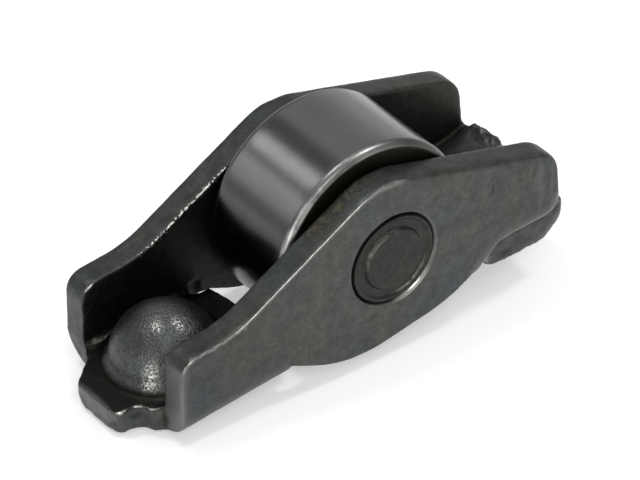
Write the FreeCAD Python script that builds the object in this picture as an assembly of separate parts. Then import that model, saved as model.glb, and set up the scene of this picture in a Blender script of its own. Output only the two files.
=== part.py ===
import FreeCAD, Part
import math
import os
from FreeCAD import Vector

# Roller finger rocker arm, in millimetres.
# The origin is the centre of the ball socket that the arm rocks on.
# X runs along the arm to the valve pad, Y along the roller's pin, Z up to the cam.
# The near wall is the one on the side of -Y, the far wall the one on the side of +Y.

# Sheet and channel
sheet = 2.35                  # thickness of the steel sheet
arm_width = 14.43             # over the outer faces of the two walls
bend_inside = 0.65            # inside radius of the bends along the floor
outer_edge_round = 0.3        # rounding of the pressing's outer edges
inner_edge_round = 0.15       # rounding of the walls' inner edges

# Roller and its bearing
roller_wall = 3.09            # of the roller's ring, which makes it 17.0 in diameter
roller_side_gap = 0.325       # between the roller and each wall
roller_rim_round = 0.45
roller_bore_chamfer = 0.3
pin_diameter = 7.5
needle_diameter = 1.6
needle_setback = 0.29         # from the roller's faces in to the needles' ends
needle_end_chamfer = 0.15
needle_spacing = 0.09         # least space between two needles along their circle
bearing_clearance = 0.03      # between needle and pin, and between needle and roller

# Pin seat in the walls
pin_hole_clearance = 0.02
hole_chamfer = 0.28
pin_end_recess = 0.12         # how far the pin's ends lie inside the walls' outer faces
stake_ring_inset = 0.6        # from the pin's surface in to the ring that staking presses
stake_ring_width = 0.65
stake_ring_depth = 0.25
stake_ring_flank = 0.15       # how far each side of the pressed ring slopes
pin_centre_proud = 0.1        # how far the centre of the pin's end stands past its lip

# Ball socket
socket_tilt = 6.7             # slope of the socket end's floor, in degrees
ball_diameter = 6.4
dome_wall = 1.15
dome_fillet = 1.1
socket_entry_round = 0.7

# Places of the roller and the pad
roller_past_ball = 7.4        # from the ball's centre along to the roller's rim
roller_below_ball = 2.6       # from the ball's centre down to the roller's lowest line
pad_past_roller = 3.5         # from the roller's rim along to the lowest line of the pad
pad_rise = 3.73               # from the ball's centre up to the top of the pad, at that line

# Side outline of the walls, from the socket end over the crest to the nose
wall_end_reach = 3.65         # from the ball's centre back to the near wall's end
far_wall_longer = 0.4         # how much further the far wall reaches there
socket_wall_height = 5.35     # from the floor's upper face to the walls' top edge
socket_corner_round = 1.6
neck_past_ball = 1.3          # from the ball's centre along to where that edge turns up
neck_round = 8.0              # of the turn there
crest_behind = 1.25           # from the roller's axis back to the corner of the crest
crest_below = 1.0             # from the roller's top down to that corner
crest_round = 6.0
fall_angle = 14.6             # slope of the top edge from the crest to the nose
nose_past_roller = 7.7        # from the roller's rim along to the foot of the nose
nose_lean = 5.0               # how far the nose leans back, in degrees
nose_corner_round = 2.4

# Side outline of the walls, back along the lower edge
nose_heel_below = 0.33        # from the top of the pad down to the foot of the nose
nose_heel_round = 1.6
ledge_length = 6.15           # of the lower edge over the pad
ledge_angle = 5.0
ledge_round = 1.5
climb_length = 1.7            # of the short climb from the tab to that edge
climb_angle = 45.0
climb_round = 2.5
tab_shoulder_length = 3.6     # from the climb to the bend in the tab's front edge
tab_shoulder_angle = 25.0
tab_shoulder_round = 12.0
tab_front_angle = 11.3
tab_back_angle = 23.5
tab_behind = 4.05             # from the roller's axis back to the tab's lowest corner
tab_round = 10.8

# Window for the roller
window_gap = 0.7              # between the roller and the window's ends
window_bulge = 0.65           # how far the floor's edge curves out under the roller
relief_width = 1.1            # of the slots at the window's corners
relief_depth = 1.1
relief_inset = 2.1            # from the walls' outer faces in to the slots

# Free end of the floor, in plan
tongue_reach = 6.85           # from the ball's centre to the end of the tongue
tongue_near_half = 2.0        # from the middle to the tongue's corners
tongue_far_half = 1.9
tongue_corner_round = 0.45
tongue_bevel_back = 0.4       # of the bevel between the tongue's end and the near notch
tongue_bevel_out = 1.1
notch_depth = 1.0             # from the near wall's end back to the notches
notch_round = 1.1
near_notch_half = 3.0         # from the middle out to the near notch
near_notch_width = 1.8
near_notch_lean = 0.2         # how far the near notch's far side leans
near_notch_step = 0.6         # width of the slope from there to the near wall's end
far_notch_half = 3.7
far_notch_width = 1.0

# Valve pad
pad_top_radius = 9.0
pad_end_angle = 31.0          # from the pad's lowest line to its sheared end, in degrees
pad_end_half = 4.3            # half the width of the sheared end past the walls
pad_end_taper = 0.6           # how much narrower it is at its very end
pad_end_dip = 0.75            # how far the end's middle lies back
valve_gap = 6.2               # between the two guide skirts
skirt_inset = 0.75            # from the walls' outer faces in to the guide skirts
skirt_depth = 1.5             # how far the guide skirts stand below the pad
skirt_heel_round = 1.2
skirt_past_roller = 8.6       # from the roller's rim along to the skirts' toe
skirt_toe_lift = 0.55         # how much higher the skirts' lower edge is at the toe
skirt_toe_round = 2.9
skirt_toe_above = 0.27        # from the top of the pad up to the top of the toe
skirt_top_round = 0.6
skirt_edge_round = 0.55

# Worked out from the sizes above
ball_r = ball_diameter / 2
dome_r = ball_r + dome_wall
pin_r = pin_diameter / 2
needle_r = needle_diameter / 2
needle_circle_r = pin_r + needle_r + bearing_clearance
needle_count = int(2 * math.pi * needle_circle_r / (needle_diameter + needle_spacing))
roller_bore_r = needle_circle_r + needle_r + bearing_clearance
roller_r = roller_bore_r + roller_wall
hole_r = pin_r + pin_hole_clearance
half_width = arm_width / 2
inner_half = half_width - sheet
roller_width = 2 * (inner_half - roller_side_gap)
needle_length = roller_width - 2 * needle_setback
roller_reach = roller_past_ball + roller_r
roller_rise = roller_r - roller_below_ball
skirt_half = half_width - skirt_inset
window_back = roller_reach - roller_r - window_gap
window_front = roller_reach + roller_r + window_gap
pad_reach = roller_reach + roller_r + pad_past_roller
pad_centre_z = pad_rise + pad_top_radius
nose_x = roller_reach + roller_r + nose_past_roller
toe_x = roller_reach + roller_r + skirt_past_roller
past_all = 4 * arm_width      # longer than any cut has to be
diagonal = math.sqrt(0.5)


def slope_of(degrees):
    """Rise per length of a line at this angle."""
    return math.tan(math.radians(degrees))


def turn(shape, degrees):
    """Turns a shape about the ball's centre so that its valve end rises."""
    shape.rotate(Vector(0, 0, 0), Vector(0, 1, 0), -degrees)
    return shape


def sloped(along, above):
    """A side-view point given along the socket end's floor and square above it."""
    a = math.radians(socket_tilt)
    return (along * math.cos(a) - above * math.sin(a),
            along * math.sin(a) + above * math.cos(a))


def bend_height(x):
    """Height at which the walls spring from the bends, at this place along the floor."""
    start_x, start_z = sloped(0, bend_inside)
    return start_z + (x - start_x) * slope_of(socket_tilt)


def rounded_edges(corners, place):
    """Straight runs joined by tangent arcs round the corners (u, v, radius)."""
    points = [Vector(u, v, 0) for u, v, radius in corners]
    joints = []
    for i, (u, v, radius) in enumerate(corners):
        p = points[i]
        if radius == 0:
            joints.append((p, None, p))
            continue
        back = (points[i - 1] - p).normalize()
        on = (points[(i + 1) % len(points)] - p).normalize()
        half = back.getAngle(on) / 2
        run = radius / math.tan(half)
        arc_middle = p + (back + on).normalize() * (radius / math.sin(half) - radius)
        joints.append((p + back * run, arc_middle, p + on * run))
    edges = []
    for i, (start, middle, end) in enumerate(joints):
        if middle is not None:
            edges.append(Part.Arc(place(start), place(middle), place(end)).toShape())
        following = joints[(i + 1) % len(joints)][0]
        if end.distanceToPoint(following) > 1e-6:
            edges.append(Part.LineSegment(place(end), place(following)).toShape())
    return edges


def side_plate(corners, y_from, y_to):
    """A plate with a side-view outline of (x, z, radius), from one Y to another."""
    edges = rounded_edges(corners, lambda p: Vector(p.x, y_from, p.y))
    face = Part.Face(Part.Wire(edges))
    return face.extrude(Vector(0, y_to - y_from, 0))


def plan_block(corners, z_from, z_to):
    """A block with a plan outline of (x, y, radius), from one height to another."""
    edges = rounded_edges(corners, lambda p: Vector(p.x, p.y, z_from))
    face = Part.Face(Part.Wire(edges))
    return face.extrude(Vector(0, 0, z_to - z_from))


def path(*steps):
    """Edges through points; a pair (middle, end) makes an arc through its middle."""
    edges = []
    at = steps[0]
    for step in steps[1:]:
        if isinstance(step, tuple):
            edges.append(Part.Arc(at, step[0], step[1]).toShape())
            at = step[1]
        else:
            edges.append(Part.LineSegment(at, step).toShape())
            at = step
    return edges


def spun(edges, axis):
    """A solid turned about an axis through the ball's centre."""
    return Part.Face(Part.Wire(edges)).revolve(Vector(0, 0, 0), axis, 360)


def middle_of(edge):
    """The point halfway along an edge."""
    return edge.valueAt((edge.FirstParameter + edge.LastParameter) / 2)


def meeting(a, b, slope_a, slope_b):
    """Where a line through a meets a line through b, each with its own slope."""
    x = (b[1] - a[1] + slope_a * a[0] - slope_b * b[0]) / (slope_a - slope_b)
    return x, a[1] + slope_a * (x - a[0])


def top_corners(end_x):
    """Corners of a wall's top edge, from the socket end over the crest to the nose."""
    floor_slope = slope_of(socket_tilt)
    top = sloped(0, socket_wall_height)
    crest = (roller_reach - crest_behind, roller_rise + roller_r - crest_below)
    foot = (nose_x, pad_rise - nose_heel_below)
    neck = (neck_past_ball, top[1] + (neck_past_ball - top[0]) * floor_slope)
    nose = meeting(crest, foot, -slope_of(fall_angle), -1 / slope_of(nose_lean))
    return [(end_x, top[1] + (end_x - top[0]) * floor_slope, socket_corner_round),
            (*neck, neck_round), (*crest, crest_round), (*nose, nose_corner_round)]


def lower_corners():
    """Corners of a wall's lower edge, from the nose's foot back to the window."""
    foot_z = pad_rise - nose_heel_below
    ledge_x = nose_x - ledge_length
    ledge_z = foot_z - ledge_length * slope_of(ledge_angle)
    climb_x = ledge_x - climb_length
    climb_z = ledge_z - (ledge_x - climb_x) * slope_of(climb_angle)
    shoulder_x = climb_x - tab_shoulder_length
    shoulder_z = climb_z - tab_shoulder_length * slope_of(tab_shoulder_angle)
    tab_x = roller_reach - tab_behind
    tab_z = shoulder_z - (shoulder_x - tab_x) * slope_of(tab_front_angle)
    tab_end_z = tab_z + (tab_x - window_back) * slope_of(tab_back_angle)
    return [(nose_x, foot_z, nose_heel_round),
            (ledge_x, ledge_z, ledge_round),
            (climb_x, climb_z, climb_round),
            (shoulder_x, shoulder_z, tab_shoulder_round),
            (tab_x, tab_z, tab_round),
            (window_back, tab_end_z, 0)]


def round_wall_edges(plate, y, radius):
    """Rounds a wall's edges on one face, except along the bend to the floor."""
    chosen = []
    for edge in plate.Edges:
        middle = middle_of(edge)
        on_bend = middle.x < window_back + 0.01 and middle.z < bend_height(middle.x) + 0.05
        ends_on_face = all(abs(v.Point.y - y) < 1e-6 for v in edge.Vertexes)
        if ends_on_face and not on_bend:
            chosen.append(edge)
    return plate.makeFillet(radius, chosen)


def wall(side):
    """One side wall of the channel, on the side -1 or +1 of the arm."""
    end_x = -wall_end_reach if side < 0 else -wall_end_reach - far_wall_longer
    bend_line = [(window_back, bend_height(window_back), 0), (end_x, bend_height(end_x), 0)]
    corners = top_corners(end_x) + lower_corners() + bend_line
    outer, inner = side * half_width, side * inner_half
    plate = side_plate(corners, min(outer, inner), max(outer, inner))
    plate = round_wall_edges(plate, outer, outer_edge_round)
    return round_wall_edges(plate, inner, inner_edge_round)


def floor_outline():
    """Plan of the socket end: tongue, relief notches, walls' ends and window edge."""
    near_end = -wall_end_reach
    far_end = near_end - far_wall_longer
    notch_x = near_end - notch_depth
    outer = half_width + 1
    corner = tongue_corner_round
    corners = [(-tongue_reach, -tongue_near_half, corner),
               (-tongue_reach + tongue_bevel_back, -tongue_near_half - tongue_bevel_out, corner),
               (notch_x, -near_notch_half, notch_round),
               (notch_x + near_notch_lean, -near_notch_half - near_notch_width + near_notch_step, corner),
               (near_end, -near_notch_half - near_notch_width, corner),
               (near_end, -outer, 0), (window_back, -outer, 0),
               (window_back, outer, 0), (far_end, outer, 0),
               (far_end, far_notch_half + far_notch_width, corner),
               (notch_x, far_notch_half, notch_round),
               (-tongue_reach, tongue_far_half, corner)]
    return plan_block(corners, -2 * sheet, 2 * sheet)


def with_window_edge(block):
    """Gives the plan its bulge towards the roller and the slots at the window's corners."""
    slot_y = half_width - relief_inset - relief_width / 2
    chord = slot_y
    bulge_r = (chord ** 2 + window_bulge ** 2) / (2 * window_bulge)
    bulge = Part.makeCylinder(bulge_r, 4 * sheet, Vector(window_back + window_bulge - bulge_r, 0, -2 * sheet))
    strip = Part.makeBox(2 * window_bulge, 2 * chord, 4 * sheet,
                         Vector(window_back - window_bulge, -chord, -2 * sheet))
    block = block.fuse(bulge.common(strip))
    for side in (-1, 1):
        slot_end = window_back - relief_depth + relief_width / 2
        round_end = Part.makeCylinder(relief_width / 2, 4 * sheet, Vector(slot_end, side * slot_y, -2 * sheet))
        way_out = Part.makeBox(2 * relief_depth, relief_width, 4 * sheet,
                               Vector(slot_end, side * slot_y - relief_width / 2, -2 * sheet))
        block = block.cut(round_end.fuse(way_out))
    return block


def socket_floor():
    """The socket end's floor with the bends to both walls, before it is sloped."""
    bend_outside = bend_inside + sheet
    centre_half = half_width - bend_outside
    start = -tongue_reach

    def at(y, z):
        return Vector(start, y, z)

    def halfway(side, radius):
        return at(side * (centre_half + radius * diagonal), bend_inside - radius * diagonal)

    section = path(
        at(-half_width, bend_inside),
        (halfway(-1, bend_outside), at(-centre_half, -sheet)),
        at(centre_half, -sheet),
        (halfway(1, bend_outside), at(half_width, bend_inside)),
        at(inner_half, bend_inside),
        (halfway(1, bend_inside), at(centre_half, 0)),
        at(-centre_half, 0),
        (halfway(-1, bend_inside), at(-inner_half, bend_inside)),
        at(-half_width, bend_inside))
    channel = Part.Face(Part.Wire(section)).extrude(Vector(past_all, 0, 0))
    floor = channel.common(with_window_edge(floor_outline()))
    under = []
    for edge in floor.Edges:
        middle = middle_of(edge)
        outside = abs(middle.y) > centre_half and middle.z < bend_inside - diagonal * bend_inside - 0.1
        along_end = middle.x < -wall_end_reach + 0.01
        across = edge.BoundBox.XLength < 0.2 * past_all and middle.z < -sheet / 3
        if along_end and across and (outside or abs(middle.z + sheet) < 1e-6):
            under.append(edge)
    return floor.makeFillet(outer_edge_round, under)


def dome():
    """The dome pressed up over the ball, with its fillet to the floor."""
    base_r = math.sqrt((dome_r + dome_fillet) ** 2 - dome_fillet ** 2)
    share = dome_r / (dome_r + dome_fillet)
    meet = Vector(base_r * share, 0, dome_fillet * share)
    meet_angle = math.asin(meet.z / dome_r)
    on_dome = (meet_angle + math.pi / 2) / 2
    on_fillet = (math.pi + meet_angle + 1.5 * math.pi) / 2
    fillet_centre = Vector(base_r, 0, dome_fillet)
    outline = path(
        Vector(0, 0, -sheet / 2),
        Vector(0, 0, dome_r),
        (Vector(math.cos(on_dome), 0, math.sin(on_dome)) * dome_r, meet),
        (fillet_centre + Vector(math.cos(on_fillet), 0, math.sin(on_fillet)) * dome_fillet,
         Vector(base_r, 0, 0)),
        Vector(base_r, 0, -sheet / 2),
        Vector(0, 0, -sheet / 2))
    return spun(outline, Vector(0, 0, 1))


def ball_pocket():
    """The hollow for the ball: half a ball, a straight mouth and a rounded entry."""
    entry = socket_entry_round
    outline = path(
        Vector(0, 0, ball_r),
        (Vector(ball_r * diagonal, 0, ball_r * diagonal), Vector(ball_r, 0, 0)),
        Vector(ball_r, 0, entry - sheet),
        (Vector(ball_r + entry * (1 - diagonal), 0, entry - sheet - entry * diagonal),
         Vector(ball_r + entry, 0, -sheet)),
        Vector(ball_r + entry, 0, -2 * sheet),
        Vector(0, 0, -2 * sheet),
        Vector(0, 0, ball_r))
    return spun(outline, Vector(0, 0, 1))


def pad_cylinder(radius):
    """A cylinder about the centre line of the pad's curve."""
    return Part.makeCylinder(radius, past_all, Vector(pad_reach, -past_all / 2, pad_centre_z), Vector(0, 1, 0))


def pad_outline():
    """Plan of the pad: full width under the walls, narrower past their end."""
    end = toe_x + 1
    half = skirt_half
    tip = pad_end_half - pad_end_taper
    corners = [(window_front, -half, 0), (nose_x, -half, 0), (nose_x, -pad_end_half, 0),
               (end, -tip, 0), (end, tip, 0),
               (nose_x, pad_end_half, 0), (nose_x, half, 0), (window_front, half, 0)]
    return plan_block(corners, -past_all / 2, past_all / 2)


def pad_sheet():
    """The curved pad that pushes the valve, sheared off at its end with a dip."""
    angle = math.radians(pad_end_angle)
    reach = 2 * pad_top_radius
    side_y = -skirt_half
    wedge = Part.Face(Part.makePolygon([
        Vector(pad_reach, side_y, pad_centre_z),
        Vector(pad_reach + reach * math.sin(angle), side_y, pad_centre_z - reach * math.cos(angle)),
        Vector(window_front, side_y, pad_centre_z - reach),
        Vector(window_front, side_y, pad_centre_z),
        Vector(pad_reach, side_y, pad_centre_z)])).extrude(Vector(0, 2 * skirt_half, 0))
    curved = pad_cylinder(pad_top_radius + sheet).cut(pad_cylinder(pad_top_radius))
    outward = Vector(math.cos(angle), 0, math.sin(angle))
    down = Vector(math.sin(angle), 0, -math.cos(angle))
    end_middle = Vector(pad_reach, 0, pad_centre_z) + down * (pad_top_radius + sheet / 2)
    dip_r = pad_end_half / 2
    dip_axis = end_middle + outward * (dip_r - pad_end_dip)
    dip = Part.makeCylinder(dip_r, 4 * sheet, dip_axis - down * (2 * sheet), down)
    return curved.common(wedge).common(pad_outline()).cut(dip)


def skirt(side):
    """One guide skirt, the folded lip beside the valve, up to the middle of the pad."""
    bottom = pad_rise - sheet - skirt_depth
    top_z = pad_rise + skirt_toe_above
    corners = [(window_front, bottom, skirt_heel_round),
               (toe_x, bottom + skirt_toe_lift, skirt_toe_round),
               (toe_x, top_z, skirt_top_round),
               (window_front, top_z, 0)]
    outer, inner = side * skirt_half, side * valve_gap / 2
    plate = side_plate(corners, min(outer, inner), max(outer, inner))
    chosen = []
    for edge in plate.Edges:
        middle = middle_of(edge)
        on_face = edge.BoundBox.YLength < 1e-6
        along_top = middle.x < toe_x - skirt_top_round and middle.z > top_z - 0.01
        if on_face and not along_top:
            chosen.append(edge)
    plate = plate.makeFillet(skirt_edge_round, chosen)
    return plate.cut(pad_cylinder(pad_top_radius + sheet / 2))


def pin_hole(side):
    """What the pin's hole takes from one wall, with its chamfer outside."""
    way = Vector(0, side, 0)
    start = Vector(roller_reach, side * (inner_half - 1), roller_rise)
    hole = Part.makeCylinder(hole_r, sheet + 2, start, way)
    chamfer_start = Vector(roller_reach, side * (half_width - hole_chamfer), roller_rise)
    cone = Part.makeCone(hole_r, hole_r + 2 * hole_chamfer, 2 * hole_chamfer, chamfer_start, way)
    return hole.fuse(cone)


def arm_body():
    """The pressed arm, which is one piece of sheet."""
    floor = socket_floor().fuse(dome())
    body = wall(-1).fuse([wall(1), turn(floor, socket_tilt), pad_sheet(), skirt(-1), skirt(1)])
    body = body.cut(turn(ball_pocket(), socket_tilt))
    body = body.cut(pin_hole(-1)).cut(pin_hole(1))
    return body.removeSplitter()


def axle_pin():
    """The pin, staked into both walls: a ring pressed in each end spreads its lip."""
    lip = half_width - pin_end_recess
    root = half_width - hole_chamfer
    ring_out = pin_r - stake_ring_inset
    ring_in = ring_out - stake_ring_width
    centre = lip + pin_centre_proud
    ring = lip - stake_ring_depth
    end = [(0, centre), (ring_in - stake_ring_flank, centre), (ring_in, ring), (ring_out, ring),
           (ring_out + stake_ring_flank, lip), (pin_r + lip - root, lip), (pin_r, root)]
    half = [Vector(r, y, 0) for r, y in end]
    outline = half + [Vector(p.x, -p.y, 0) for p in reversed(half)] + [half[0]]
    pin = spun(Part.makePolygon(outline).Edges, Vector(0, 1, 0))
    pin.translate(Vector(roller_reach, 0, roller_rise))
    return pin


def roll(radius, length):
    """A plain roll about the Y axis."""
    return Part.makeCylinder(radius, length, Vector(0, -length / 2, 0), Vector(0, 1, 0))


def rims(body, radius):
    """The round edges of this radius."""
    return [edge for edge in body.Edges if len(edge.Vertexes) == 1
            and abs(edge.BoundBox.XLength - 2 * radius) < 1e-3]


def roller():
    """The roller that runs on the cam, with rounded rims and a chamfered bore."""
    body = roll(roller_r, roller_width)
    body = body.makeFillet(roller_rim_round, rims(body, roller_r)).cut(roll(roller_bore_r, roller_width))
    mouths = rims(body, roller_bore_r)
    body = body.makeChamfer(roller_bore_chamfer, mouths)
    body.translate(Vector(roller_reach, 0, roller_rise))
    return body


def needle(number):
    """One of the needles that fill the space between the pin and the roller."""
    angle = 2 * math.pi * number / needle_count
    body = roll(needle_r, needle_length)
    body = body.makeChamfer(needle_end_chamfer, rims(body, needle_r))
    body.translate(Vector(roller_reach + needle_circle_r * math.cos(angle), 0,
                          roller_rise + needle_circle_r * math.sin(angle)))
    return body


def build():
    """Every piece by its node's name."""
    pieces = {"arm_body": arm_body(), "axle_pin": axle_pin(), "roller": roller()}
    for number in range(needle_count):
        pieces["needle_%02d" % (number + 1)] = needle(number)
    return pieces


os.makedirs("parts", exist_ok=True)
for name, shape in build().items():
    shape.exportStep("parts/%s.step" % name)
    box = shape.BoundBox
    print(name, shape.isValid(), len(shape.Solids), "volume %.2f" % shape.Volume,
          "x %.2f %.2f y %.2f %.2f z %.2f %.2f" % (box.XMin, box.XMax, box.YMin, box.YMax, box.ZMin, box.ZMax))
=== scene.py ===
import math

import bpy
import numpy
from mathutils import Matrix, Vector


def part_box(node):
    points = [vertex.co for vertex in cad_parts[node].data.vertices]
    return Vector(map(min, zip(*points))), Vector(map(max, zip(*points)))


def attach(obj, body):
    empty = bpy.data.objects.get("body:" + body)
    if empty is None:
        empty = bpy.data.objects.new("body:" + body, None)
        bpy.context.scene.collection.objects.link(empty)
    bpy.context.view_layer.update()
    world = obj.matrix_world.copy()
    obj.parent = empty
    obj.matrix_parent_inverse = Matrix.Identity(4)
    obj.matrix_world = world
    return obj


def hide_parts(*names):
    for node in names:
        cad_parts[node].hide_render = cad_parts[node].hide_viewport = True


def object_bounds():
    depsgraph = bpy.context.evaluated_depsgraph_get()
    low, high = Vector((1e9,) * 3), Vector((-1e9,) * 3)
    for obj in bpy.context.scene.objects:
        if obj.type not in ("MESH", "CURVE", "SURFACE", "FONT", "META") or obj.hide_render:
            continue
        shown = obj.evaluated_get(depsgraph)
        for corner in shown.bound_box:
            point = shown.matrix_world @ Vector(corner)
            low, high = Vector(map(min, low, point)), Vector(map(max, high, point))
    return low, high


# A roller rocker arm, in metres. X runs along the arm to the valve, Y along the roller's pin,
# Z up to the cam, and the origin is the middle of the ball that the arm rocks on.
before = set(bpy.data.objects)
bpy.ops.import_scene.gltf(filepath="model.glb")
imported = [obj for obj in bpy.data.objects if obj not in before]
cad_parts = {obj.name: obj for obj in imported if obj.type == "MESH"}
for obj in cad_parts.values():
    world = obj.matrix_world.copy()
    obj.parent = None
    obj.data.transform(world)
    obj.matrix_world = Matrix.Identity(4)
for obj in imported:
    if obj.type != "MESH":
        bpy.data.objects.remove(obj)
solid_box = [list(corner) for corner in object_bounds()]


# Pressed arm
# One piece of case-hardened sheet, blanked, folded to a channel and drawn up to a dome over
# the ball. Tumbling has rounded its edges and left a dark satin skin, burnished at the corners.
skin_step = 0.00013           # between the points of the skin as it is first laid
skin_triangles = 190000
mark_fade = 0.0008            # over which a worn place ends


def take_up(piece):
    """Selects this piece alone."""
    bpy.ops.object.select_all(action="DESELECT")
    piece.select_set(True)
    bpy.context.view_layer.objects.active = piece


def treat(piece, kind, **settings):
    """Gives a piece one modifier and applies it."""
    take_up(piece)
    treatment = piece.modifiers.new(kind, kind)
    for setting, value in settings.items():
        setattr(treatment, setting, value)
    bpy.ops.object.modifier_apply(modifier=treatment.name)


def lay(finish, kind, inputs=None, **settings):
    """Adds one node to a finish. An input takes a value or another node's output."""
    made = finish.node_tree.nodes.new("ShaderNode" + kind)
    for setting, value in settings.items():
        setattr(made, setting, value)
    for name, value in (inputs or {}).items():
        if isinstance(value, bpy.types.NodeSocket):
            finish.node_tree.links.new(value, made.inputs[name])
        else:
            made.inputs[name].default_value = value
    return made


def grain(finish, where, size, detail=3.0, roughness=0.6):
    """Cloudy noise with patches of about this size, in metres."""
    return lay(finish, "TexNoise", {"Vector": where, "Scale": 1 / size, "Detail": detail,
                                    "Roughness": roughness}).outputs["Fac"]


def spread(finish, value, low, high, to_low=0.0, to_high=1.0):
    """Spreads a value between two limits over another range."""
    return lay(finish, "MapRange", {"Value": value, "From Min": low, "From Max": high,
                                    "To Min": to_low, "To Max": to_high}).outputs["Result"]


def blend(finish, share, first, second, way="MIX"):
    """Mixes two colours by a share."""
    return lay(finish, "MixRGB", {"Fac": share, "Color1": first, "Color2": second},
               blend_type=way).outputs["Color"]


def grey(shade):
    """A colour without tint."""
    return (shade, shade, shade, 1)


def both(finish, *shares):
    """The product of some shares, which is one only where all of them are."""
    product = shares[0]
    for share in shares[1:]:
        product = lay(finish, "Math", {0: product, 1: share}, operation="MULTIPLY").outputs[0]
    return product


def either(finish, *shares):
    """The largest of some shares at each point."""
    largest = shares[0]
    for share in shares[1:]:
        largest = lay(finish, "Math", {0: largest, 1: share}, operation="MAXIMUM").outputs[0]
    return largest


def apart(finish, value, other):
    """How far apart two values are."""
    difference = lay(finish, "Math", {0: value, 1: other}, operation="SUBTRACT").outputs[0]
    return lay(finish, "Math", {0: difference}, operation="ABSOLUTE").outputs[0]


def seen_from(finish, place, point):
    """A place as an arrow from some point of the piece."""
    return lay(finish, "VectorMath", {0: place, 1: point}, operation="SUBTRACT").outputs[0]


def stretch(finish, arrow, factors):
    """An arrow with its X, Y and Z made longer or shorter."""
    return lay(finish, "VectorMath", {0: arrow, 1: factors}, operation="MULTIPLY").outputs[0]


def length_of(finish, arrow):
    """How long an arrow is."""
    return lay(finish, "VectorMath", {0: arrow}, operation="LENGTH").outputs["Value"]


def reach(finish, arrow, direction):
    """How far an arrow goes in one direction."""
    return lay(finish, "VectorMath", {0: arrow, 1: direction}, operation="DOT_PRODUCT").outputs["Value"]


def near_spot(finish, place, middle, half_size, fade=1.0):
    """One inside a small egg round a point of the piece, and zero outside it."""
    arrow = stretch(finish, seen_from(finish, place, middle), [1 / size for size in half_size])
    return spread(finish, length_of(finish, arrow), 1.0, 1.0 - fade)


def emboss(finish, height, depth, strength=0.5, under=None):
    """Relief of this depth, on top of another relief where one is given."""
    relief = lay(finish, "Bump", {"Strength": strength, "Distance": depth, "Height": height})
    if under is not None:
        finish.node_tree.links.new(under, relief.inputs["Normal"])
    return relief.outputs[0]


def new_metal(name):
    """A new finish of plain metal, and where each of its points lies on the piece."""
    finish = bpy.data.materials.new(name)
    finish.use_nodes = True
    finish.node_tree.nodes["Principled BSDF"].inputs["Metallic"].default_value = 1.0
    return finish, lay(finish, "TexCoord").outputs["Object"]


def dress(finish, skin, dull, relief):
    """Gives a finish its colour, its roughness and its relief."""
    shader = finish.node_tree.nodes["Principled BSDF"]
    for socket, value in (("Base Color", skin), ("Roughness", dull), ("Normal", relief)):
        finish.node_tree.links.new(value, shader.inputs[socket])


arm = bpy.data.objects.new("pressed_arm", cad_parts["arm_body"].data.copy())
bpy.context.scene.collection.objects.link(arm)
take_up(arm)
bpy.ops.object.mode_set(mode="EDIT")
bpy.ops.mesh.select_all(action="SELECT")
bpy.ops.mesh.remove_doubles(threshold=0.000001)
bpy.ops.object.mode_set(mode="OBJECT")
treat(arm, "REMESH", mode="VOXEL", voxel_size=skin_step)
treat(arm, "SMOOTH", factor=0.5, iterations=6)


def coordinates(piece):
    """Every point of a piece, as rows of X, Y and Z."""
    points = numpy.empty(len(piece.data.vertices) * 3)
    piece.data.vertices.foreach_get("co", points)
    return points.reshape(-1, 3)


def nearness(piece, places, fade):
    """How near each point of a piece is to some boxes: one inside them, none a fade away."""
    points = coordinates(piece)
    near = numpy.zeros(len(points))
    for low, high in places:
        outside = numpy.maximum(numpy.array(low) - points, points - numpy.array(high)).clip(0)
        near = numpy.maximum(near, 1 - numpy.linalg.norm(outside, axis=1) / fade)
    return near.clip(0, 1)


def treat_near(piece, places, kind, **settings):
    """Gives a piece one modifier that works inside some boxes only."""
    group = piece.vertex_groups.new(name="near")
    near = nearness(piece, places, fade=0.001)
    for weight in (0.2, 0.4, 0.6, 0.8, 1.0):
        chosen = numpy.nonzero(near >= weight)[0]
        group.add(chosen.tolist(), weight, "REPLACE")
    treat(piece, kind, vertex_group="near", **settings)
    piece.vertex_groups.clear()


tumbled_places = [
    ((0.015, -0.0080, 0.0106), (0.034, -0.0062, 0.0150)),     # near wall's outer top edge
    ((0.022, -0.0080, 0.0030), (0.034, -0.0062, 0.0106)),
    ((0.015, 0.0062, 0.0106), (0.034, 0.0080, 0.0150)),       # far wall's outer top edge
    ((0.022, 0.0062, 0.0030), (0.034, 0.0080, 0.0106)),
    ((0.0305, -0.0080, 0.0036), (0.034, -0.0055, 0.0150)),    # both noses
    ((0.0305, 0.0055, 0.0036), (0.034, 0.0080, 0.0150)),
    ((-0.008, -0.0035, -0.0040), (-0.0055, 0.0035, -0.0024)),  # under the tongue
    ((0.023, -0.0075, -0.0020), (0.034, -0.0028, 0.0016)),    # guide skirts
    ((0.023, 0.0028, -0.0020), (0.034, 0.0075, 0.0016))]
treat_near(arm, tumbled_places, "SMOOTH", factor=0.9, iterations=30)
burr_lumps = bpy.data.textures.new("burr_lumps", "CLOUDS")
burr_lumps.noise_scale = 0.0008
burr_places = [((0.0324, -0.0030, 0.0042), (0.0336, 0.0036, 0.0058))]   # rim of the pad's end
treat_near(arm, burr_places, "DISPLACE", texture=burr_lumps, texture_coords="LOCAL",
           strength=0.0006, mid_level=0.35)
treat_near(arm, burr_places, "SMOOTH", factor=0.5, iterations=6)
rough_lumps = bpy.data.textures.new("rough_lumps", "CLOUDS")
rough_lumps.noise_scale = 0.0011
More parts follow.
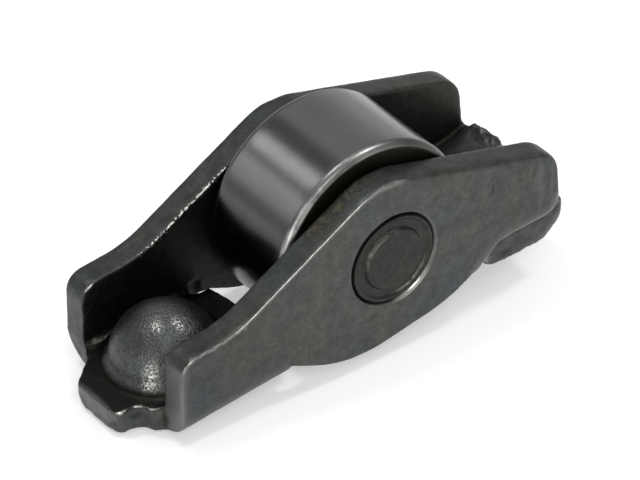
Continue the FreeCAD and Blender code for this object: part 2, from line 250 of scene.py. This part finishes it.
rough_places = [
    ((0.0322, -0.0044, 0.0010), (0.0350, 0.0044, 0.0050)),    # the pad's end
    ((0.0230, -0.0075, -0.0020), (0.0340, 0.0075, 0.0012)),   # guide skirts
    ((-0.0075, -0.0040, -0.0040), (-0.0050, 0.0040, -0.0016)),  # under the tongue
    ((-0.0045, 0.0040, -0.0010), (-0.0030, 0.0052, 0.0050))]  # far wall's inner corner
treat_near(arm, rough_places, "DISPLACE", texture=rough_lumps, texture_coords="LOCAL",
           strength=0.00025, mid_level=0.5)
tab_corner = (0.0065, 0.0060, 0.0008)      # far tab's lower corner, which hangs lower than the near one's
tab_reach = (0.0026, 0.0022, 0.0016)
tab_drop = 0.0006
points = coordinates(arm)
near_tab = (1 - numpy.linalg.norm((points - tab_corner) / tab_reach, axis=1)).clip(0)
points[:, 2] -= tab_drop * near_tab * (2 - near_tab)
arm.data.vertices.foreach_set("co", points.ravel())
skin_waves = bpy.data.textures.new("skin_waves", "CLOUDS")
skin_waves.noise_scale = 0.0016
treat(arm, "DISPLACE", texture=skin_waves, texture_coords="LOCAL", strength=0.00005, mid_level=1.0)
fine_waves = bpy.data.textures.new("fine_waves", "CLOUDS")
fine_waves.noise_scale = 0.0005
treat(arm, "DISPLACE", texture=fine_waves, texture_coords="LOCAL", strength=0.000015, mid_level=1.0)
treat(arm, "TRIANGULATE")
treat(arm, "DECIMATE", ratio=skin_triangles / len(arm.data.polygons))
bpy.ops.object.shade_smooth()


def mark(piece, name, values):
    """Keeps one value for each point of a piece."""
    piece.data.attributes.new(name, "FLOAT", "POINT").data.foreach_set("value", values)


def standing_out(piece, rounds):
    """How far each point stands out from a smoothed copy, in metres, and the copy's normals."""
    copy = bpy.data.objects.new("smoothed", piece.data.copy())
    bpy.context.scene.collection.objects.link(copy)
    treat(copy, "SMOOTH", factor=1.0, iterations=rounds)
    normals = numpy.array([point.normal for point in copy.data.vertices])
    proud = ((coordinates(piece) - coordinates(copy)) * normals).sum(axis=1)
    bpy.data.objects.remove(copy)
    return proud, normals


edge_places = [                                                # near wall's outer top edge
    ((-0.0030, -0.0075, 0.0046), (0.0100, -0.0060, 0.0145)),
    ((0.0100, -0.0075, 0.0109), (0.0165, -0.0060, 0.0145))]
foot_places = [((0.0235, -0.0078, 0.0012), (0.0335, -0.0064, 0.0046))]   # near wall's lower edge
end_places = [((-0.0042, -0.0076, -0.0014), (-0.0030, -0.0062, 0.0040))]  # and its upright edge
rubbed_places = [
    ((-0.0068, -0.0030, -0.0012), (-0.0058, -0.0017, -0.0003)),  # tongue's near corner
    ((-0.0050, -0.0045, -0.0008), (-0.0040, -0.0026, -0.0001)),  # lip of the near notch
    ((-0.0036, 0.0046, 0.0044), (-0.0026, 0.0054, 0.0056)),      # far wall end's inner corner
    ((-0.0036, -0.0075, 0.0042), (-0.0018, -0.0064, 0.0060))]    # near wall end's outer corner
speckled_places = [                                             # far wall's inner edge
    ((0.0015, 0.0047, 0.0050), (0.0092, 0.0053, 0.0105)),
    ((0.0116, 0.0047, 0.0100), (0.0127, 0.0055, 0.0130))]
# Painted highlight: along the near wall's rounded lower edge, its nose and its upright edge the colour is
# lightened.
sheen_places = [((0.0235, -0.0080, 0.0012), (0.0345, -0.0062, 0.0046)),   # near wall's lower edge,
                  ((0.0325, -0.0080, 0.0046), (0.0345, -0.0055, 0.0115))]   # and its nose
broadly_proud = standing_out(arm, rounds=60)[0]
edge_sheen = numpy.maximum(nearness(arm, sheen_places, mark_fade),
                        0.4 * nearness(arm, end_places, mark_fade))
mark(arm, "edge_sheen", broadly_proud.clip(0) * edge_sheen)
proud, facing = standing_out(arm, rounds=12)
mark(arm, "sideways", -facing[:, 1])
mark(arm, "edge", numpy.maximum.reduce([nearness(arm, edge_places, mark_fade),
                                        0.7 * nearness(arm, foot_places, mark_fade),
                                        0.12 * nearness(arm, end_places, mark_fade)]))
mark(arm, "rubbed", proud.clip(0) * nearness(arm, rubbed_places, mark_fade))
mark(arm, "speckled", proud.clip(0) * nearness(arm, speckled_places, mark_fade))
# Painted shade: how far each point lies below a smoothed copy, so that hollows and creases are painted
# darker.
mark(arm, "hollow_shade", (-proud).clip(0))
pin_low, pin_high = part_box("axle_pin")
hub = (pin_low + pin_high) / 2
pin_radius = (pin_high.x - pin_low.x) / 2

floor_upward = (-0.1167, 0, 0.9932)       # straight out of the channel's sloping floor
inner_face = 0.0048                       # of each wall, from the arm's middle
dome_skin = 0.0044                        # from the ball's middle
dome_foot = 0.0048
dome_polish = 0.08                        # share of bare steel on the tops of its pebbles
black_scale_and_shade = (0.010, 0.010, 0.008, 1)
sheen_grey = (0.2, 0.2, 0.195, 1)
bare_or_lit_steel = (0.5, 0.485, 0.45, 1)
# Painted highlights: bare polished spots on the dome that stand in for where light glints on it.
highlight_spots = (                        # middle and half size
    ((-0.00150, -0.00108, 0.00395), (0.0006, 0.0008, 0.0009)),
    ((-0.00009, -0.00175, 0.00395), (0.0005, 0.0010, 0.0009)),
    ((-0.0033, -0.0027, 0.0008), (0.0009, 0.0009, 0.0023)))
single_marks = (                          # middle, half size and shade
    ((0.02517, -0.0072, 0.00823), (0.0001, 0.0006, 0.0007), 0.01),     # scratch
    ((0.0322, -0.0065, 0.0032), (0.0007, 0.0010, 0.0008), 0.04),       # nose's lower corner
    ((0.0271, -0.0065, 0.0010), (0.0009, 0.0010, 0.0005), 0.02))       # skirt's blotch


def kept_mark(finish, name):
    """What mark has kept for each point of the piece."""
    return lay(finish, "Attribute", attribute_name=name).outputs["Fac"]


def clouded_skin(finish, place):
    """Bluish and olive clouds with uneven patches and fine specks."""
    clouds = spread(finish, grain(finish, place, 0.006, 5.0), 0.35, 0.65)
    skin = blend(finish, clouds, (0.072, 0.079, 0.082, 1), (0.084, 0.084, 0.075, 1))
    patches = spread(finish, grain(finish, place, 0.0012, 8.0, 0.75), 0.3, 0.7, 0.68, 1.32)
    skin = blend(finish, 1.0, skin, patches, "MULTIPLY")
    specks = spread(finish, grain(finish, place, 0.00022, 2.0), 0.3, 0.7, 0.88, 1.12)
    return blend(finish, 1.0, skin, specks, "MULTIPLY")


def channel_shades(finish, place, off_dome):
    """Shares and colours of the black scale inside, partly painted shade, of painted shade in the hollows,
    on the walls' inner faces and on the darker ends, and of painted light on the end faces.
    """
    axes = lay(finish, "SeparateXYZ", {0: place}).outputs
    across = apart(finish, axes["Y"], 0.0)
    # Painted shade: the floor between the walls, off the dome, is painted near black, as scale and as the
    # shade that falls there.
    scale = both(finish, off_dome, spread(finish, across, inner_face + 0.0002, inner_face - 0.0002),
                 spread(finish, axes["X"], 0.010, 0.006),
                 spread(finish, reach(finish, place, floor_upward), -0.00035, 0.00005))
    # Painted shade in hollows and creases.
    hollow_shade = spread(finish, kept_mark(finish, "hollow_shade"), 0.000006, 0.00005)
    # Painted shade: faces that look to the near side are painted darker away from the pin.
    from_pin = spread(finish, apart(finish, axes["X"], hub.x), 0.006, 0.014, 0.0, 0.1)
    shade_far_along = both(finish, from_pin, kept_mark(finish, "sideways"))
    # Painted light: the near wall's end and the tongue's end are painted paler, standing in for light they
    # catch.
    lit_ends = either(finish,
                     near_spot(finish, place, (-0.0040, -0.0061, 0.0008), (0.0012, 0.0016, 0.0040), 0.3),
                     near_spot(finish, place, (-0.0070, 0, -0.0014), (0.0010, 0.0042, 0.0010), 0.3))
    # Painted shade: the walls' inner faces are darkened.
    inside = both(finish, spread(finish, across, inner_face - 0.0002, inner_face),
                  spread(finish, across, inner_face + 0.0003, inner_face + 0.0001))
    return [(scale, black_scale_and_shade), (hollow_shade, (0.02, 0.02, 0.018, 1)), (shade_far_along, grey(0.0)),
            (lit_ends, (0.125, 0.125, 0.12, 1)),
            (spread(finish, inside, 0.0, 1.0, 0.0, 0.55), (0.02, 0.02, 0.014, 1))]


def near_wall_shades(finish, place):
    """Shares and colours of the nose's draw strokes and the lower edges, both lightened as painted
    highlights, and of a darker patch with olive stains beside the roller.
    """
    # Draw strokes on the nose, painted lighter as painted highlights.
    drawn = grain(finish, stretch(finish, place, (1.0, 0.1, 0.16)), 0.0007, 2.0)
    on_nose = near_spot(finish, place, (0.0308, -0.0073, 0.0072), (0.0036, 0.0010, 0.0042), 0.4)
    strokes_and_sheen = both(finish, spread(finish, drawn, 0.48, 0.64, 0.0, 0.22), on_nose)
    # Painted highlight along the near wall's lower and upright edges and its nose.
    edge_sheen = spread(finish, kept_mark(finish, "edge_sheen"), 0.00002, 0.00012, 0.0, 0.4)
    # Darker beside the roller, with olive stains there.
    beside_roller = near_spot(finish, place, (0.0118, -0.0055, 0.0118), (0.0058, 0.0011, 0.0030), 0.4)
    stains = spread(finish, grain(finish, place, 0.0005, 6.0, 0.75), 0.48, 0.6, 0.0, 0.6)
    return [(strokes_and_sheen, sheen_grey), (edge_sheen, sheen_grey),
            (spread(finish, beside_roller, 0.0, 1.0, 0.0, 0.35), (0.02, 0.02, 0.015, 1)),
            (both(finish, stains, beside_roller), (0.16, 0.145, 0.085, 1))]


def in_pin_hole(finish, place, right, up, margin):
    """One in the near mouth of the pin's hole, moved a little aside and widened by a margin."""
    return near_spot(finish, place, (hub.x + right, pin_low.y, hub.z + up),
                     (pin_radius + margin, 0.0012, pin_radius + margin), 0.03)


def bare_and_lit_places(finish, place, mouth, pebbles, polish_and_highlights):
    """One where the steel is bare: worn corners and pebbles and a scrape, and bare steel as painted
    highlights on the near wall's edges, partly burnished, on dome spots and in the mouth.
    """
    flakes = grain(finish, place, 0.0005, 5.0, 0.75)
    # Bare steel along the near wall's burnished edges, only where their normals turn one way, so partly a
    # painted highlight.
    off_corner = apart(finish, kept_mark(finish, "sideways"), 0.74)
    line = both(finish, spread(finish, off_corner, 0.24, 0.04, 0.0, 0.85), kept_mark(finish, "edge"),
                spread(finish, flakes, 0.35, 0.6, 0.6, 1.0))
    thin = both(finish, kept_mark(finish, "rubbed"), spread(finish, flakes, 0.35, 0.6, 0.6, 1.3))
    dots = grain(finish, place, 0.00022, 2.0, 0.5)
    dotted = both(finish, kept_mark(finish, "speckled"), spread(finish, dots, 0.46, 0.66, 0.6, 2.4))
    corners = spread(finish, either(finish, thin, dotted), 0.00006, 0.0001)
    pebble_tops = both(finish, spread(finish, pebbles, 0.42, 0.62), polish_and_highlights)
    # Painted highlight: bare steel on the mouth's lower right, where its chamfer catches light.
    lit_side = (hub.x + 0.49 * pin_radius, pin_low.y, hub.z - 0.91 * pin_radius)
    pressed = both(finish, mouth, near_spot(finish, place, lit_side, (0.0021, 0.0012, 0.0021), 0.7))
    streaks = grain(finish, stretch(finish, place, (0.3, 2.0, 2.0)), 0.0004, 2.0)
    scraped = both(finish, near_spot(finish, place, (-0.0028, 0.0046, -0.0001), (0.0016, 0.0003, 0.0003)),
                   spread(finish, streaks, 0.45, 0.65, 0.0, 0.5))
    return either(finish, corners, pebble_tops, line, pressed, scraped)


def pressed_steel():
    """Dark case-hardened steel: bluish and olive clouds, black scale inside, bare worn edges, and painted
    light and shade.
    """
    finish, place = new_metal("pressed_steel")
    off_dome = spread(finish, length_of(finish, place), dome_skin, dome_foot)
    on_dome = spread(finish, off_dome, 1.0, 0.0)
    # Painted light: the dome's crown is painted paler.
    crown_light = near_spot(finish, place, (0.0002, 0.0005, 0.0043), (0.0024, 0.0018, 0.0014), 0.8)
    pebbles = grain(finish, place, 0.00017, 1.5, 0.5)
    spots = [near_spot(finish, place, middle, half_size) for middle, half_size in highlight_spots]
    polish_and_highlights = both(finish, on_dome, either(finish, dome_polish, *spots))
    mouth = in_pin_hole(finish, place, 0.00005, -0.00003, 0.0002)
    # Painted shadow: a crescent on the wall at the left of the pin, black, where shade falls in the gap.
    painted_gap_shadow = in_pin_hole(finish, place, -0.0001, -0.00002, 0.00006)
    bare = bare_and_lit_places(finish, place, mouth, pebbles, polish_and_highlights)

    shades = channel_shades(finish, place, off_dome) + near_wall_shades(finish, place)
    # Painted highlight: the wall round the pin hole's mouth is painted paler; painted shadow: the gap at
    # its left is painted black.
    shades += [(spread(finish, mouth, 0.0, 1.0, 0.0, 0.3), (0.25, 0.25, 0.24, 1)), (painted_gap_shadow, grey(0.004))]
    shades += [(near_spot(finish, place, middle, half_size), grey(shade))
               for middle, half_size, shade in single_marks]
    shades += [(spread(finish, crown_light, 0.0, 1.0, 0.0, 0.7), (0.16, 0.16, 0.155, 1)), (bare, bare_or_lit_steel)]
    skin = clouded_skin(finish, place)
    for share, colour in shades:
        skin = blend(finish, share, skin, colour)

    dull = spread(finish, grain(finish, place, 0.0007, 5.0, 0.7), 0.3, 0.7, 0.38, 0.52)
    for share, roughness in ((on_dome, 0.44), (polish_and_highlights, 0.27), (bare, 0.26)):
        dull = blend(finish, share, dull, grey(roughness))

    relief = emboss(finish, both(finish, pebbles, on_dome), 0.000055, strength=1.0)
    relief = emboss(finish, grain(finish, place, 0.0006, 3.0), 0.00003, under=relief)
    relief = emboss(finish, grain(finish, place, 0.00016, 2.0), 0.00001, under=relief)
    dress(finish, skin, dull, relief)
    return finish


arm.data.materials.clear()
arm.data.materials.append(pressed_steel())
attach(arm, "arm")
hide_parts("arm_body")


# Pin
# A turned and ground pin in the holes of both walls. A punch has pressed a ring into each of its
# ends, which spreads the lip outside the ring into the hole's chamfer and holds the pin for good.
centre_proud = 0.0001         # how far the middle of each end stands past its lip
lip_chamfer = 0.00025
ring_inset = 0.0006           # from the pin's surface in to the pressed ring
ring_flank = 0.00015
ring_width = 0.00065
ring_depth = 0.0002
lip_thickness = 0.0004
lip_flare = 0.0004            # over which the lip narrows to the shank
shank_loops = (0.0012, 0.002)  # depths of two loops that keep the shank straight
centre_rings = 5              # that smooth the middle of each end
centre_ring_width = 0.0004
lip_length = pin_high.y - pin_low.y - 2 * centre_proud
bearing_play = 0.00003        # between the needles and what they roll on
needles = sorted(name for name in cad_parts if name.startswith("needle_"))
needle_low, needle_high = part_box(needles[0])
needle_middle = (needle_low + needle_high) / 2
needle_radius = (needle_high.x - needle_low.x) / 2
shank_radius = (needle_middle - hub).length - needle_radius - bearing_play


def end_faces(piece, along):
    """Selects a piece's flat faces that look along the pin."""
    bpy.ops.mesh.select_all(action="DESELECT")
    bpy.ops.mesh.select_mode(type="FACE")
    bpy.ops.object.mode_set(mode="OBJECT")
    for face in piece.data.polygons:
        face.select = abs(face.normal.y) > 0.99 and abs(face.center.y - hub.y) > along
    bpy.ops.object.mode_set(mode="EDIT")


def step_in(width, rise=0.0):
    """Insets both selected end faces, and lifts or sinks what lies inside."""
    bpy.ops.mesh.inset(thickness=width, depth=rise, use_individual=True)


bpy.ops.object.select_all(action="DESELECT")
bpy.ops.mesh.primitive_cylinder_add(vertices=128, radius=pin_radius, depth=lip_length - 2 * lip_chamfer,
                                    location=hub, rotation=(math.pi / 2, 0, 0))
pin = bpy.context.object
pin.name = "staked_pin"
bpy.ops.object.transform_apply(location=True, rotation=True, scale=True)
bpy.ops.object.mode_set(mode="EDIT")
bpy.ops.mesh.select_mode(type="VERT")
for side in (-1, 1):
    for depth in (lip_thickness, lip_thickness + lip_flare, *shank_loops):
        bpy.ops.mesh.select_all(action="SELECT")
        cut = hub + Vector((0, side * (lip_length / 2 - depth), 0))
        bpy.ops.mesh.bisect(plane_co=cut, plane_no=(0, 1, 0))
bpy.ops.mesh.select_all(action="DESELECT")
bpy.ops.object.mode_set(mode="OBJECT")
for point in pin.data.vertices:
    point.select = abs(point.co.y - hub.y) < lip_length / 2 - lip_thickness - lip_flare / 2
bpy.ops.object.mode_set(mode="EDIT")
narrowing = shank_radius / pin_radius
bpy.ops.transform.resize(value=(narrowing, 1, narrowing), center_override=hub)
end_faces(pin, along=lip_length / 4)
step_in(lip_chamfer, lip_chamfer)
step_in(ring_inset - lip_chamfer - ring_flank)
step_in(ring_flank, -ring_depth)
step_in(ring_width)
step_in(ring_flank, ring_depth + centre_proud)
for ring in range(centre_rings):
    step_in(centre_ring_width)
bpy.ops.mesh.poke()
bpy.ops.object.mode_set(mode="OBJECT")
treat(pin, "BEVEL", width=0.0001, segments=3, limit_method="ANGLE", angle_limit=math.radians(25))
treat(pin, "SUBSURF", levels=1, render_levels=1)
treat(pin, "SMOOTH", factor=0.5, iterations=8)
bpy.ops.object.shade_smooth()

# Scuffed arcs that are also painted highlights on the edges of the pressed ring.
scuffed_and_lit_arcs = (                # inner and outer radius and middle, in pin radii, and strength
    (0.82, 0.88, (0.45, -0.72), 0.6),
    (0.58, 0.67, (-0.37, 0.48), 0.3),
    (0.86, 0.91, (-0.6, 0.6), 0.2))


def pin_steel():
    """Dark oiled steel, dull all over, with scuffed arcs that are partly painted highlights and a painted
    shadow round the left of its rim.
    """
    finish, place = new_metal("pin_steel")
    clouds = spread(finish, grain(finish, place, 0.0025, 5.0), 0.35, 0.65)
    skin = blend(finish, clouds, (0.036, 0.038, 0.037, 1), (0.046, 0.045, 0.04, 1))
    patches = spread(finish, grain(finish, place, 0.0006, 5.0, 0.7), 0.3, 0.7, 0.75, 1.25)
    skin = blend(finish, 1.0, skin, patches, "MULTIPLY")
    radius = length_of(finish, stretch(finish, seen_from(finish, place, hub), (1, 0, 1)))
    broken = spread(finish, grain(finish, place, 0.0007, 5.0, 0.75), 0.4, 0.55)
    for inner, outer, side, strength in scuffed_and_lit_arcs:
        past_inner = spread(finish, radius, pin_radius * inner, pin_radius * (inner + 0.03))
        before_outer = spread(finish, radius, pin_radius * outer, pin_radius * (outer - 0.03))
        middle = (hub.x + pin_radius * side[0], hub.y, hub.z + pin_radius * side[1])
        around = near_spot(finish, place, middle, (pin_radius * 0.6, 0.1, pin_radius * 0.6))
        arc = both(finish, past_inner, before_outer, around, broken)
        skin = blend(finish, spread(finish, arc, 0.0, 0.6, 0.0, strength), skin, (0.38, 0.37, 0.32, 1))
    # Painted shadow: outside a circle moved a little right and down, the pin's rim is painted black, as the
    # shade in the gap at its left.
    unshadowed = near_spot(finish, place, (hub.x + 0.00007, hub.y, hub.z - 0.00012),
                      (pin_radius - 0.00013, 0.1, pin_radius - 0.00013), 0.03)
    skin = blend(finish, spread(finish, unshadowed, 1.0, 0.0), skin, (0.006, 0.006, 0.005, 1))
    dull = spread(finish, grain(finish, place, 0.0004, 5.0, 0.7), 0.3, 0.7, 0.36, 0.55)
    dress(finish, skin, dull, emboss(finish, grain(finish, place, 0.0003, 3.0), 0.00002))
    return finish


pin.data.materials.append(pin_steel())
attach(pin, "arm")
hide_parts("axle_pin")


# Needles
# A full set of needles fills the space between pin and roller, with no cage. Each is a ground
# roll with rounded ends, and the walls keep the set from running out sideways.
needle_length = needle_high.y - needle_low.y
needle_end_round = 0.00015


def ground_steel(name, tint, roughness, painted_light_and_shade=None):
    """Bright bearing steel with the fine round lines that grinding leaves, and perhaps painted light and
    shade.
    """
    finish, place = new_metal(name)
    stroke = grain(finish, stretch(finish, place, (0.05, 1.0, 0.05)), 0.00012, 3.0)
    film = spread(finish, grain(finish, place, 0.003, 3.0), 0.3, 0.7, 0.95, 1.05)
    skin = blend(finish, 1.0, tint, film, "MULTIPLY")
    skin = blend(finish, 1.0, skin, spread(finish, stroke, 0.3, 0.7, 0.96, 1.04), "MULTIPLY")
    dull = spread(finish, grain(finish, place, 0.0008, 4.0), 0.3, 0.7, roughness * 0.95, roughness * 1.05)
    if painted_light_and_shade:
        skin, dull = painted_light_and_shade(finish, place, skin, dull)
    dress(finish, skin, dull, emboss(finish, stroke, 0.000002, strength=0.08))
    return finish


bpy.ops.object.select_all(action="DESELECT")
bpy.ops.mesh.primitive_cylinder_add(vertices=32, radius=needle_radius, depth=needle_length,
                                    location=needle_middle, rotation=(math.pi / 2, 0, 0))
first_needle = bpy.context.object
bpy.ops.object.transform_apply(location=True, rotation=True, scale=True)
treat(first_needle, "BEVEL", width=needle_end_round, segments=3, limit_method="ANGLE",
      angle_limit=math.radians(60))
bpy.ops.object.shade_smooth_by_angle(angle=math.radians(30))
first_needle.data.materials.append(ground_steel("needle_steel", (0.4, 0.4, 0.39, 1), 0.2))
for name in needles:
    needle = first_needle if name == needles[0] else first_needle.copy()
    if needle != first_needle:
        low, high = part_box(name)
        needle.data = first_needle.data.copy()
        for point in needle.data.vertices:
            point.co += (low + high) / 2 - needle_middle
        bpy.context.scene.collection.objects.link(needle)
    needle.name = "ground_" + name
for name in needles:
    needle = bpy.data.objects["ground_" + name]
    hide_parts(name)
    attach(needle, "needle_set")


# Roller
# A ring of bearing steel that turns on the needles under the cam lobe. It is turned, hardened
# and ground, with rounded rims and a small chamfer at each mouth of its bore.
roller_low, roller_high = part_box("roller")
roller_radius = (roller_high.z - roller_low.z) / 2
roller_width = roller_high.y - roller_low.y
bore_radius = (needle_middle - hub).length + needle_radius + bearing_play
rim_round = 0.00065
mouth_chamfer = 0.0003


def section_corners(piece, outside):
    """Selects the corners of the ring's section at its rim or at its bore."""
    bpy.ops.mesh.select_mode(type="VERT")
    bpy.ops.mesh.select_all(action="DESELECT")
    bpy.ops.object.mode_set(mode="OBJECT")
    for point in piece.data.vertices:
        corner = abs(abs(point.co.y - hub.y) - roller_width / 2) < 0.00001
        at = roller_radius if outside else bore_radius
        point.select = corner and abs(point.co.x - hub.x - at) < 0.00001
    bpy.ops.object.mode_set(mode="EDIT")


bpy.ops.object.select_all(action="DESELECT")
bpy.ops.mesh.primitive_plane_add(size=1, location=hub + Vector(((roller_radius + bore_radius) / 2, 0, 0)))
roller = bpy.context.object
roller.name = "ground_roller"
roller.scale = (roller_radius - bore_radius, roller_width, 1)
bpy.ops.object.transform_apply(location=True, rotation=True, scale=True)
bpy.ops.object.mode_set(mode="EDIT")
bpy.ops.mesh.delete(type="ONLY_FACE")
section_corners(roller, outside=True)
bpy.ops.mesh.bevel(offset=rim_round, segments=8, affect="VERTICES")
section_corners(roller, outside=False)
bpy.ops.mesh.bevel(offset=mouth_chamfer, segments=1, affect="VERTICES")
bpy.ops.mesh.select_mode(type="EDGE")
bpy.ops.mesh.select_all(action="DESELECT")
bpy.ops.object.mode_set(mode="OBJECT")
for edge in roller.data.edges:
    start, end = (roller.data.vertices[i].co for i in edge.vertices)
    edge.select = (end - start).length > 2 * rim_round
bpy.ops.object.mode_set(mode="EDIT")
bpy.ops.mesh.subdivide(number_cuts=9)
bpy.ops.mesh.select_all(action="SELECT")
bpy.ops.mesh.spin(steps=192, angle=2 * math.pi, center=hub, axis=(0, 1, 0))
bpy.ops.mesh.select_all(action="SELECT")
bpy.ops.mesh.remove_doubles(threshold=0.000001)
bpy.ops.mesh.normals_make_consistent(inside=False)
bpy.ops.object.mode_set(mode="OBJECT")
bpy.ops.object.shade_smooth_by_angle(angle=math.radians(30))
treat(roller, "WEIGHTED_NORMAL", keep_sharp=True)


def roller_light_and_shade(finish, place, skin, dull):
    """Painted shade on the roller's lower and valve sides and its end faces, and painted highlights on its
    rims in places.
    """
    sideways = lay(finish, "SeparateXYZ", {0: place}).outputs["Y"]
    from_middle = apart(finish, sideways, 0.0)
    on_rim = spread(finish, from_middle, roller_width / 2 - 0.0007, roller_width / 2 - 0.0005)
    on_end = spread(finish, from_middle, roller_width / 2 - 0.00006, roller_width / 2 - 0.00002)
    from_axis = seen_from(finish, place, hub)
    low_side = reach(finish, from_axis, (-0.9, 0, -0.43))
    valve_side = reach(finish, from_axis, (1, 0, 0))
    # Painted shade: the lower and valve sides are painted darker.
    low_and_valve_shade = either(finish, spread(finish, low_side, 0.35 * roller_radius, 0.75 * roller_radius, 0.0, 0.85),
                 spread(finish, valve_side, 0.25 * roller_radius, 0.6 * roller_radius, 0.0, 0.7))
    # Painted highlight on the rims, with painted shade towards the valve, on the far side and in patches.
    rim_shade = either(finish, spread(finish, valve_side, -0.1 * roller_radius, 0.4 * roller_radius),
                      spread(finish, sideways, 0.0, 0.001),
                      spread(finish, grain(finish, place, 0.002, 3.0), 0.42, 0.6, 0.0, 0.7))
    rim = blend(finish, rim_shade, (0.36, 0.36, 0.35, 1), (0.1, 0.1, 0.097, 1))
    # Painted shade on the lower and valve sides and on the end faces, and a painted highlight on the rims.
    for share, colour in ((low_and_valve_shade, grey(0.0)), (on_rim, rim), (on_end, (0.026, 0.024, 0.017, 1))):
        skin = blend(finish, share, skin, colour)
    for share, roughness in ((on_rim, 0.34), (on_end, 0.5)):
        dull = blend(finish, share, dull, grey(roughness))
    return skin, dull


roller.data.materials.append(ground_steel("bearing_steel", (0.262, 0.27, 0.264, 1), 0.22, roller_light_and_shade))
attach(roller, "roller")
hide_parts("roller")


# Studio
# The arm stands on a plain white table, under soft boxes behind it on the left, high on both
# sides and beside the camera, with a pale room round them.
table_height = solid_box[0][2]
aim = Vector((0.01423, -0.000205, 0.004317))   # the middle of the picture
lamp_distance = 0.6


def towards(turn, height, distance):
    """The point this far from the aim, at an azimuth from +X and a height in degrees."""
    turn, height = math.radians(turn), math.radians(height)
    return aim + distance * Vector((math.cos(turn) * math.cos(height),
                                    math.sin(turn) * math.cos(height), math.sin(height)))


def soft_box(name, turn, height, width, length, brightness):
    """A rectangular lamp that looks at the arm."""
    lamp = bpy.data.objects.new(name, bpy.data.lights.new(name, "AREA"))
    lamp.data.shape = "RECTANGLE"
    lamp.data.size, lamp.data.size_y = width, length
    lamp.data.energy = brightness * width * length * math.pi
    lamp.location = towards(turn, height, lamp_distance)
    lamp.rotation_euler = (aim - lamp.location).to_track_quat("-Z", "Y").to_euler()
    bpy.context.scene.collection.objects.link(lamp)


def seen_or_mirrored(finish):
    """One for what the camera sees, straight or in metal or glass."""
    path = lay(finish, "LightPath").outputs
    shiny = lay(finish, "Math", {0: path["Is Camera Ray"], 1: path["Is Glossy Ray"]}, operation="ADD")
    return lay(finish, "Math", {0: shiny.outputs[0], 1: path["Is Transmission Ray"]},
               operation="ADD", use_clamp=True).outputs[0]


bpy.ops.object.select_all(action="DESELECT")
bpy.ops.mesh.primitive_plane_add(size=4, location=(aim.x, aim.y, table_height))
table = bpy.context.object
table.name = "white_table"
paper = bpy.data.materials.new("white_paper")
paper.use_nodes = True
paper_shader = paper.node_tree.nodes["Principled BSDF"]
paper_shader.inputs["Base Color"].default_value = (0.85, 0.85, 0.85, 1)
paper_shader.inputs["Roughness"].default_value = 0.9
paper_shader.inputs["Specular IOR Level"].default_value = 0.1
paper_shader.inputs["Emission Color"].default_value = (1, 1, 1, 1)
glow = both(paper, seen_or_mirrored(paper), 0.38)
paper.node_tree.links.new(glow, paper_shader.inputs["Emission Strength"])
table.data.materials.append(paper)

soft_box("back_left_box", 136, 22, 0.2, 0.22, 0.6)
soft_box("back_left_strip", 119, 43, 0.13, 0.14, 1.2)
soft_box("high_left_box", 124, 73, 0.07, 0.1, 28.0)
soft_box("high_right_box", -20, 63, 0.07, 0.1, 28.0)
soft_box("left_card", -157, 14, 0.07, 0.32, 11.0)
soft_box("front_box", -112, 44, 0.22, 0.24, 4.0)

room = bpy.data.worlds.new("pale_room")
room.use_nodes = True
bpy.context.scene.world = room
background = room.node_tree.nodes["Background"]
way = lay(room, "TexCoord").outputs["Generated"]
upward = lay(room, "SeparateXYZ", {0: way}).outputs["Z"]
walls = lay(room, "ValToRGB", {"Fac": upward})
shades = ((0.0, 0.8), (0.2, 0.66), (0.4, 0.46), (0.57, 0.38), (0.68, 0.38), (0.75, 0.42), (0.8, 0.34),
          (0.9, 0.65), (1.0, 0.75))
for height, shade in shades[1:-1]:
    walls.color_ramp.elements.new(height)
for element, (height, shade) in zip(walls.color_ramp.elements, shades):
    element.position = height
    element.color = grey(shade)
dim_side = spread(room, reach(room, way, (-0.77, 0.64, 0.0)), 0.5, 0.95, 0.0, 0.5)
dark_gap = spread(room, reach(room, way, (-0.1, 0.65, 0.755)), 0.98, 0.992, 0.0, 0.9)
wall = blend(room, dim_side, walls.outputs["Color"], grey(0.1))
wall = blend(room, dark_gap, wall, grey(0.03))
wall = blend(room, lay(room, "LightPath").outputs["Is Camera Ray"], wall, grey(1.0))
room.node_tree.links.new(wall, background.inputs["Color"])

camera_turn = -127.04
camera_height = 36.45
camera_distance = 0.4
camera = bpy.data.objects.new("camera", bpy.data.cameras.new("camera"))
camera.data.lens = 299.43
camera.location = towards(camera_turn, camera_height, camera_distance)
camera.rotation_euler = (math.radians(90 - camera_height), 0, math.radians(90 + camera_turn))
bpy.context.scene.collection.objects.link(camera)
bpy.context.scene.camera = camera
bpy.context.scene.view_settings.view_transform = "Standard"
